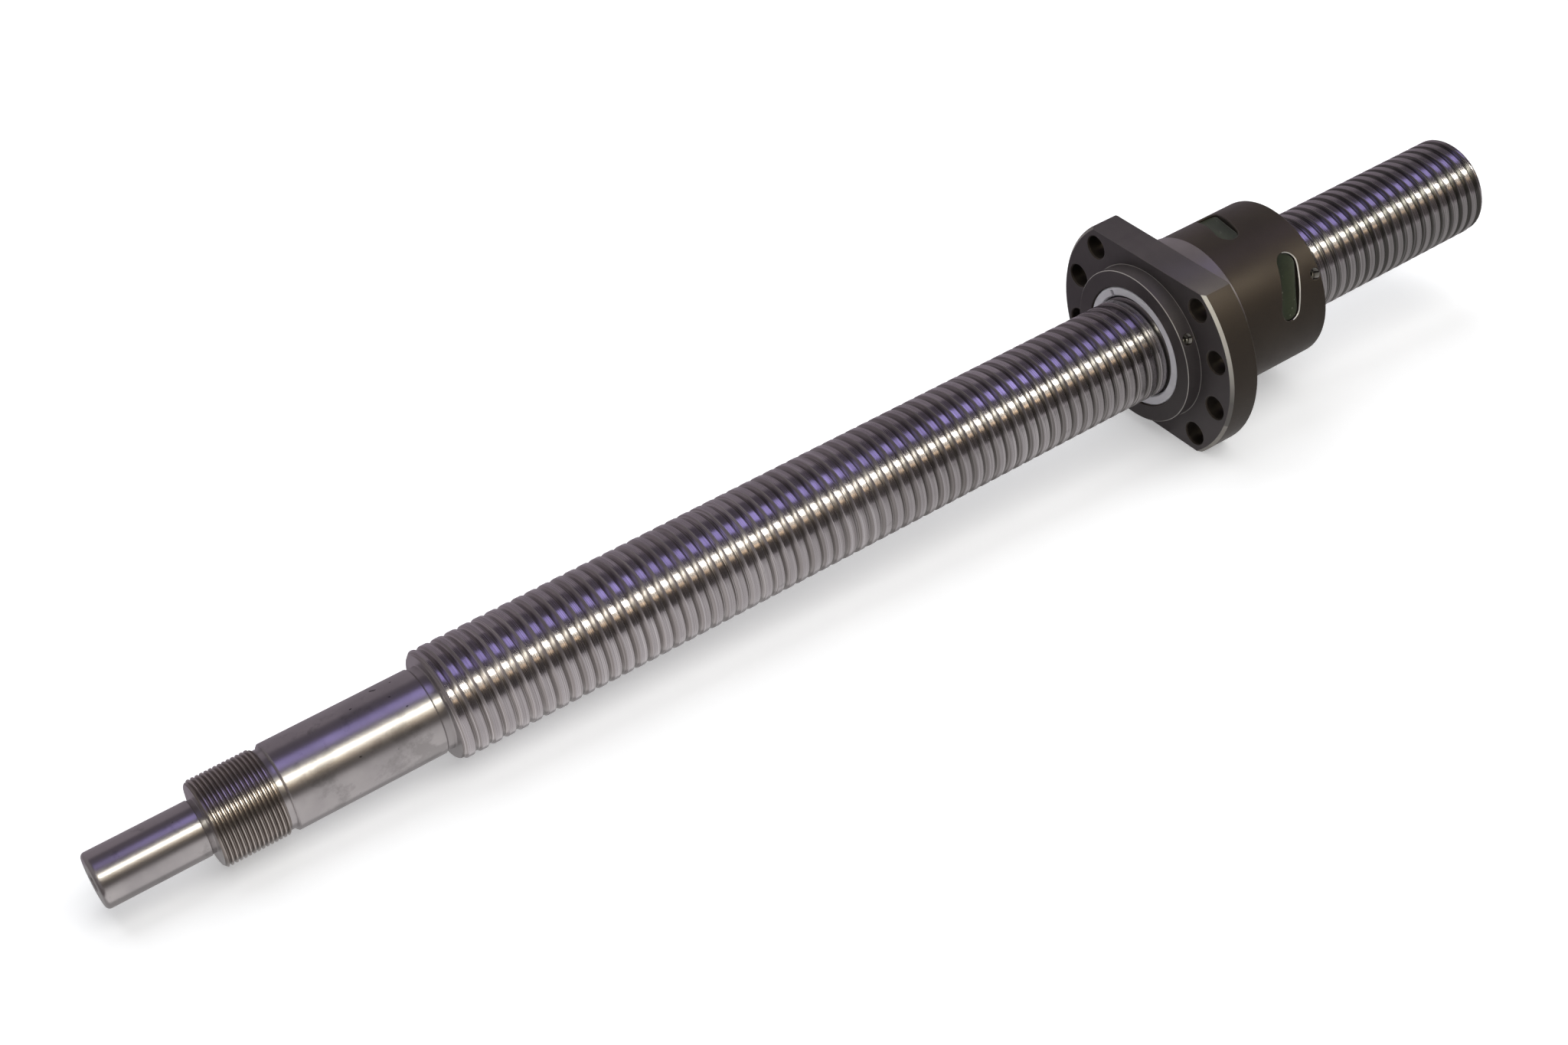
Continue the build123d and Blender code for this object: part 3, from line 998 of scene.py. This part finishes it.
def add_deflector(number, x, angle):
    head_length, head_width = SLOT_LENGTH - HEAD_PLAY, SLOT_WIDTH - HEAD_PLAY
    head = slot_outline(head_length, head_width)
    top = slot_outline(head_length - 2 * HEAD_BEVEL, head_width - 2 * HEAD_BEVEL)
    nose = slot_outline(NOSE_LENGTH, NOSE_WIDTH)
    rings = [
        [slot_place(x, angle, a, b, radius=NOSE_END_R) for a, b in nose],
        [slot_place(x, angle, a, b, height=HEAD_FLOOR) for a, b in nose],
        [slot_place(x, angle, a, b, height=HEAD_FLOOR) for a, b in head],
        [slot_place(x, angle, a, b, radius=BODY_R - HEAD_DROP - HEAD_BEVEL) for a, b in head],
        [slot_place(x, angle, a, b, radius=BODY_R - HEAD_DROP) for a, b in top],
    ]
    points, faces = ringed(rings)
    faces = faces[2:]
    faces += capped(len(head), 0, up=False)
    faces += capped(len(head), len(rings) - 1, up=True)
    insert = link(f"insert_{number}", points, faces)
    outward(insert)
    smooth(insert)
    finish_piece(insert, INSERT, "nut", "insert_steel", f"deflector_{number}")


# Balls

CROSSING = 22
LIP = 0.8


def ball_place(angle):
    """Station and radius of a ball, at an angle in degrees from the middle of a deflector.

    Within the crossing the ball leaves its groove and rises over the land to the next turn.
    """
    helix = LEAD * angle / 360
    groove = (-1 if angle > 0 else 1) * LEAD / 2 + helix
    if abs(angle) >= CROSSING:
        return groove, BALL_PATH
    edge = LEAD / 2 - LEAD * CROSSING / 360
    station = -edge * math.sin(math.pi / 2 * angle / CROSSING)
    slope = (BALL / 2 + CLEARANCE * math.sqrt(2) - LIP) / math.sqrt((BALL / 2) ** 2 - LIP**2)
    return station, BALL_PATH + min(BALL / 2 + CLEARANCE - LIP, slope * abs(station - groove))


def loop_places():
    """Middles of the balls of one circuit, evenly along its closed path.

    The path is measured in steps of half a degree.
    """
    angles = [k / 2 for k in range(-360, 361)]
    points = [Vector(around(*ball_place(a), math.radians(a))) for a in angles]
    travelled = [0.0]
    for point, following in zip(points, points[1:]):
        travelled.append(travelled[-1] + (following - point).length)
    count = math.floor(travelled[-1] / (BALL + BALL_GAP))
    for i in range(count):
        wanted = travelled[-1] * i / count
        nearest = min(range(len(points)), key=lambda k: abs(travelled[k] - wanted))
        yield points[nearest]


def ball_shape(count=14, rows=9):
    """One ball as rings of points, from pole to pole."""
    outline = [(-BALL / 2, 0)]
    for k in range(1, rows):
        angle = math.pi * k / rows
        outline.append((-BALL / 2 * math.cos(angle), BALL / 2 * math.sin(angle)))
    outline.append((BALL / 2, 0))
    return lathe(outline, count)


def add_ball_circuit(number, x, angle, ball, places):
    turn = Matrix.Rotation(angle, 3, "X")
    shape = ([], [])
    for place in places:
        middle = turn @ place + Vector((x, 0, 0))
        add(shape, ([tuple(Vector(p) + middle) for p in ball[0]], ball[1]))
    loop = link(f"balls_{number}", *shape)
    loop.data.shade_smooth()
    finish_piece(loop, BALLS, "nut", "ball_steel", f"ball_circuit_{number}")


# Wipers

WIPER_R = 23.6
WIPER_BORE_R = 20.0
WIPER_INSET = 0.3
WIPER_WIDTH = 5.8
NOTCH_ANGLE = math.radians(57)


def wiper_notch(start):
    """The small notch across the bore's edge of a wiper."""
    deep, wide = 1.2, 0.8
    section = ((-deep, -wide), (-deep, wide), (deep, wide), (deep, -wide))
    heights = (18.0, 22.6)
    rings = [[turned(start + x, height, t, NOTCH_ANGLE) for x, t in section] for height in heights]
    return link("wiper_cutter", *ringed(rings))


def add_wiper(end, face, inwards):
    start = face + inwards * WIPER_INSET
    stop = start + inwards * WIPER_WIDTH
    outline = [
        (start + inwards * 0.5, WIPER_BORE_R),
        (start, WIPER_BORE_R + 0.5),
        (start, WIPER_R - 0.3),
        (start + inwards * 0.3, WIPER_R),
        (stop, WIPER_R),
        (stop, WIPER_BORE_R),
    ]
    wiper = link(f"wiper_ring_{end}", *lathe(outline, ROUND_STEPS, closed=True))
    outward(wiper)
    notch = wiper_notch(start)
    outward(notch)
    carve(wiper, notch)
    turned_normals(wiper)
    finish_piece(wiper, WIPER, "nut", "wiper_plastic", f"wiper_{end}")


# Floor

FLOOR_TILT = -0.05167
FLOOR_LEVEL = -19.5
FLOOR_REACH = 8000
FLOOR_GLOW = 0.36
FAR_GLOW = 0.6
FAR_FROM = (0.17, 0, 0)
FAR_START = 0.6
FAR_END = 2.2


def floor_point(x, y):
    return (x, y, FLOOR_LEVEL + FLOOR_TILT * x)


def floor_look():
    """A pale floor that glows a little, and more far from the part, so that it runs into the room."""
    new, n, shader = material("floor")
    grain = n.noise(40.0, (1, 1, 1), 3.0, 0.5)
    tone = n.mix(n.stretch(grain, 0.3, 0.7), (0.87, 0.885, 0.915), (0.85, 0.865, 0.895))
    n.join(tone, shader.inputs["Base Color"])
    shader.inputs["Roughness"].default_value = 0.8
    shader.inputs["Specular IOR Level"].default_value = 0.1
    shader.inputs["Emission Color"].default_value = (1, 1, 1, 1)
    path = n.add("ShaderNodeLightPath")
    near = n.math("MULTIPLY", direct_rays(n, path), FLOOR_GLOW)
    place = n.add("ShaderNodeTexCoord")
    away = n.add("ShaderNodeVectorMath", operation="DISTANCE")
    n.join(place.outputs["Object"], away.inputs[0])
    away.inputs[1].default_value = FAR_FROM
    grown = n.stretch(away.outputs["Value"], FAR_START, FAR_END, 0.0, FAR_GLOW)
    far = n.math("MULTIPLY", grown, path.outputs["Is Camera Ray"])
    n.join(n.math("ADD", near, far), shader.inputs["Emission Strength"])
    return new


def add_floor():
    r = FLOOR_REACH
    corners = [floor_point(x, y) for x, y in ((-r, -r), (r, -r), (r, r), (-r, r))]
    floor = link("floor", corners, [(0, 1, 2, 3)])
    floor.data.materials.append(floor_look())


# Lights

def softbox(name, centre, aim, length, width, colour, radiance, glossy=True, diffuse=True):
    """A lamp that aims at a point, with its length along X as far as the aim allows."""
    lamp = bpy.data.lights.new(name, "AREA")
    lamp.shape = "RECTANGLE"
    lamp.size = length
    lamp.size_y = width
    lamp.color = colour
    lamp.energy = radiance * math.pi * length * width
    thing = bpy.data.objects.new(name, lamp)
    bpy.context.scene.collection.objects.link(thing)
    back = (Vector(centre) - Vector(aim)).normalized()
    side = back.cross(Vector((1, 0, 0))).normalized()
    along = side.cross(back).normalized()
    turn = Matrix((along, side, back)).transposed().to_4x4()
    thing.matrix_world = Matrix.Translation(Vector(centre)) @ turn
    thing.visible_camera = False
    thing.visible_glossy = glossy
    thing.visible_diffuse = diffuse


def strip(name, x, angle, distance, length, width, colour, radiance, **rays):
    """A lamp beside the screw, at an angle about its axis, that aims at the axis."""
    centre = around(x, distance, math.radians(angle))
    softbox(name, centre, (x, 0, 0), length, width, colour, radiance, **rays)


def add_lights():
    """A narrow white key, a soft fill, two warm panels, a violet one overhead and a back light."""
    strip("key", 0.68, 128, 1.1, 2.2, 0.12, (0.98, 0.965, 0.84), 15.0, diffuse=False)
    strip("fill", 0.68, 114, 1.1, 1.6, 1.0, (1.0, 0.975, 0.93), 1.95, glossy=False)
    strip("panel", 1.65, 138, 3.0, 3.5, 1.1, (0.98, 0.92, 0.76), 0.8, diffuse=False)
    strip("amber", 1.65, 145, 3.0, 3.5, 0.3, (1.0, 0.60, 0.25), 1.2, diffuse=False)
    strip("top", 2.2, 90, 3.3, 4.3, 1.25, (0.49, 0.425, 0.98), 1.3, diffuse=False)
    softbox("back", (0.25, 1.1, 1.3), (0.2, 0, 0), 2.0, 1.8, (1.0, 0.995, 0.99), 1.9, glossy=False)


def add_room():
    """White for the camera and for reflections, dim as a light on the part."""
    world = bpy.data.worlds.new("room")
    bpy.context.scene.world = world
    world.use_nodes = True
    world.node_tree.nodes.clear()
    n = Nodes(world.node_tree)
    path = n.add("ShaderNodeLightPath")
    level = n.stretch(direct_rays(n, path), 0.0, 1.0, 0.15, 1.0)
    glow = n.add("ShaderNodeBackground", Color=(1, 1, 1, 1))
    n.join(level, glow.inputs["Strength"])
    out = n.add("ShaderNodeOutputWorld")
    n.join(glow.outputs[0], out.inputs["Surface"])


# Studio cards, in millimetres like the part

LILAC = (0.37, 0.325, 0.37)
DUSK = (0.125, 0.107, 0.137)
GREY = (0.20, 0.18, 0.185)
LIGHT = (0.34, 0.315, 0.325)
DARK = (0.08, 0.07, 0.068)
PALE = (0.62, 0.58, 0.60)
LOW = {"left": -900, "right": 1700, "front": -1500, "back": 1500}
HIGH = {"left": -1800, "right": 4600, "front": -3600, "back": 3600}
ROOF = 3700
SILL = -250
UNDER_LEFT = -135
UNDER_FRONT = -14
UNDER_BACK = 22


def card(name, corners, colour, further=None):
    """A plain studio card that only reflections see.

    further is the tone it turns to along X and the two places, in metres, between which it turns.
    """
    panel = link(name, corners, [(0, 1, 2, 3)])
    new = bpy.data.materials.new(name)
    new.use_nodes = True
    new.node_tree.nodes.clear()
    n = Nodes(new.node_tree)
    tone = n.mix(n.noise(2.0), colour, shade(colour, 0.85))
    if further:
        far_tone, start, end = further
        tone = n.mix(n.stretch(spot_parts(n)[0], start, end), tone, far_tone)
    glow = n.add("ShaderNodeEmission")
    n.join(tone, glow.inputs["Color"])
    out = n.add("ShaderNodeOutputMaterial")
    n.join(glow.outputs[0], out.inputs["Surface"])
    panel.data.materials.append(new)
    panel.visible_camera = False
    panel.visible_diffuse = False
    panel.visible_shadow = False


def wall(name, colour, first, second):
    """A card that leans out from the sill to the roof, between two corners of the studio."""
    low = [(LOW[a], LOW[b], SILL) for a, b in (first, second)]
    high = [(HIGH[a], HIGH[b], ROOF) for a, b in (second, first)]
    card(name, low + high, colour)


def ground_card(name, left, right, front, back, colour, further=None):
    """A card that lies just above the floor."""
    lift = 0.5
    corners = [floor_point(*p) for p in ((left, front), (right, front), (right, back), (left, back))]
    card(name, [(x, y, z + lift) for x, y, z in corners], colour, further)


def add_cards():
    """The walls and the roof, a pale card low in front, and cards on the ground round the part, the one
    under it a painted shadow.
    """
    wall("card_back", LILAC, ("left", "back"), ("right", "back"))
    wall("card_front", DARK, ("left", "front"), ("right", "front"))
    wall("card_right", GREY, ("right", "front"), ("right", "back"))
    wall("card_left", LIGHT, ("left", "front"), ("left", "back"))
    ends = (("left", "front"), ("right", "front"), ("right", "back"), ("left", "back"))
    card("card_top", [(HIGH[a], HIGH[b], ROOF) for a, b in ends], DUSK)
    left, right, front, back = LOW["left"], LOW["right"], LOW["front"] + 20, LOW["back"]
    low_top = 90
    low = [(left, front, SILL), (right, front, SILL), (right, front, low_top), (left, front, low_top)]
    card("card_low", low, PALE)
    ground_card("card_behind", left, right, UNDER_BACK, back, LILAC)
    ground_card("card_ahead", left, UNDER_LEFT, front, back, GREY)
    fading = ((0.42, 0.41, 0.405), -0.03, 0.45)
    ground_card("card_fore", UNDER_LEFT, right, front, UNDER_FRONT, (1.0, 0.97, 0.975), fading)
    # A darker card under the part stands for its shadow on the floor as reflections see it: a painted
    # shadow.
    fading = ((0.33, 0.32, 0.315), -0.03, 0.25)
    ground_card("card_under_shadow", UNDER_LEFT, right, UNDER_FRONT, UNDER_BACK, (0.45, 0.435, 0.44), fading)


# Camera, as fitted to the photograph

CAMERA_LENS = 53.471
CAMERA_PLACE = Vector((-0.172612, -0.532935, 0.510253))
CAMERA_RIGHT = Vector((0.81969, -0.56520, -0.09302))
CAMERA_DOWN = Vector((-0.42174, -0.48560, -0.76572))


def add_camera():
    camera = bpy.data.cameras.new("camera")
    camera.sensor_fit = "HORIZONTAL"
    camera.sensor_width = 36.0
    camera.lens = CAMERA_LENS
    camera.clip_start = 0.01
    camera.clip_end = 50.0
    viewer = bpy.data.objects.new("camera", camera)
    bpy.context.scene.collection.objects.link(viewer)
    forward = CAMERA_RIGHT.cross(CAMERA_DOWN).normalized()
    down = forward.cross(CAMERA_RIGHT).normalized()
    turn = Matrix((CAMERA_RIGHT.normalized(), -down, -forward)).transposed().to_4x4()
    viewer.matrix_world = Matrix.Translation(CAMERA_PLACE) @ turn
    bpy.context.scene.camera = viewer
    bpy.context.scene.view_settings.view_transform = "Standard"


# Build the part

add_journals()
add_shaft_end()
add_raceway()
add_thread()
add_nut_shell()
add_nut_raceway()
for number, (x, angle) in enumerate(slot_centres(), start=1):
    add_deflector(number, x, angle)
ball = ball_shape()
places = list(loop_places())
for number, (x, angle) in enumerate(slot_centres(), start=1):
    add_ball_circuit(number, x, angle, ball, places)
add_wiper("front", NUT_FRONT, 1)
add_wiper("rear", NUT_END, -1)

# Pieces that keep their solids
KEPT = {
    "felt_ring_front": FELT,
    "felt_ring_rear": FELT,
    "set_screw_front": SCREW,
    "set_screw_rear": SCREW,
}
for name, look in KEPT.items():
    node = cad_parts[name]
    node.data.materials.clear()
    node.data.materials.append(look)

# Build the studio
add_floor()
add_lights()
add_room()
add_cards()
add_camera()
